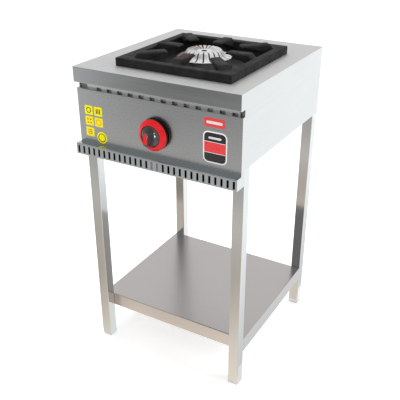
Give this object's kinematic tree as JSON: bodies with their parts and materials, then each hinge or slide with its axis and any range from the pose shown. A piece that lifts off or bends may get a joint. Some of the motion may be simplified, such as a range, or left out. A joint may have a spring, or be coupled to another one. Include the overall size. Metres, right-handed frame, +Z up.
{
  "type": "floor gas stove",
  "caption": "Floor-standing gas stove on square-tube legs: folded steel casing, round control knob, slotted burner cap under an iron pan grate, and an open lower shelf.",
  "frame": {"origin": "on the floor, in the middle of the whole outline seen from above", "axes": "+X to the right seen from the front, +Y to the back, +Z up"},
  "size_m": [0.47, 0.557, 0.8815],
  "materials": {
    "stainless": "satin brushed stainless sheet",
    "black_enamel": "black vitreous enamel",
    "iron": "matte black cast iron",
    "bare_iron": "bare grey casting",
    "burner_alloy": "cast and turned, heat tinted",
    "galvanised": "zinc plated steel",
    "chrome": "bright plated",
    "brass": "turned brass",
    "copper": "drawn copper",
    "black_plastic": "gloss black moulding",
    "red_plastic": "gloss red moulding",
    "grey_plastic": "matte moulding"
  },
  "bodies": {
    "stove": {"leg_front_left": "stainless", "leg_front_right": "stainless", "leg_rear_left": "stainless", "leg_rear_right": "stainless", "leg_plugs": "grey_plastic", "shelf": "stainless", "shelf_stiffener": "galvanised", "shelf_bolts": "galvanised", "shelf_nuts": "galvanised", "side_panel_left": "stainless", "side_panel_right": "stainless", "back_panel": "galvanised", "back_panel_screws": "galvanised", "worktop": "stainless", "vent_strip": "stainless", "vent_baffle": "black_enamel", "ledge_baffle": "black_enamel", "control_panel": "stainless", "panel_brackets": "galvanised", "front_ledge": "stainless", "ledge_bracket": "galvanised", "top_rail_left": "galvanised", "top_rail_right": "galvanised", "spill_pan": "black_enamel", "burner_crossbar": "galvanised", "burner_body": "bare_iron", "burner_bolts": "galvanised", "injector_holder": "brass", "injector": "brass", "tap_body": "brass", "tap_screws": "galvanised", "knob_bezel": "chrome", "manifold": "galvanised", "feed_pipe": "copper", "feed_nuts": "brass", "gas_inlet": "brass", "inlet_locknut": "brass", "pipe_brackets": "galvanised", "thermocouple": "copper", "thermocouple_nut": "brass"},
    "tap_plug": {"tap_plug": "brass", "tap_spring": "galvanised"},
    "knob": {"spindle": "galvanised", "knob_body": "black_plastic", "knob_ring": "red_plastic", "knob_pointer": "red_plastic"},
    "air_shutter": {"air_shutter": "galvanised", "shutter_screw": "brass"},
    "grate": {"grate": "iron"},
    "burner_cap": {"burner_cap": "burner_alloy"}
  },
  "joints": [
    {"name": "knob_turn", "type": "hinge", "parent": "stove", "child": "tap_plug", "pos_m": [0, -0.2323, 0.712], "axis": [0, -1, 0], "range_deg": [0, 180]},
    {"name": "knob_push", "type": "slide", "parent": "tap_plug", "child": "knob", "axis": [0, 1, 0], "range_m": [0, 0.004], "stiffness_N_per_m": 1500, "springref_m": -0.006, "deforming": ["tap_spring"]},
    {"name": "shutter_turn", "type": "hinge", "parent": "stove", "child": "air_shutter", "pos_m": [0.0185, -0.129, 0.792], "axis": [0, 1, 0], "range_deg": [0, 60]},
    {"name": "grate_lift", "type": "slide", "parent": "stove", "child": "grate", "axis": [0, 0, 1], "range_m": [0, 0.25]},
    {"name": "cap_lift", "type": "slide", "parent": "stove", "child": "burner_cap", "axis": [0, 0, 1], "range_m": [0, 0.125]}
  ],
  "couplings": [
    {"joint": "cap_lift", "follows": "grate_lift", "ratio": 0.5}
  ]
}
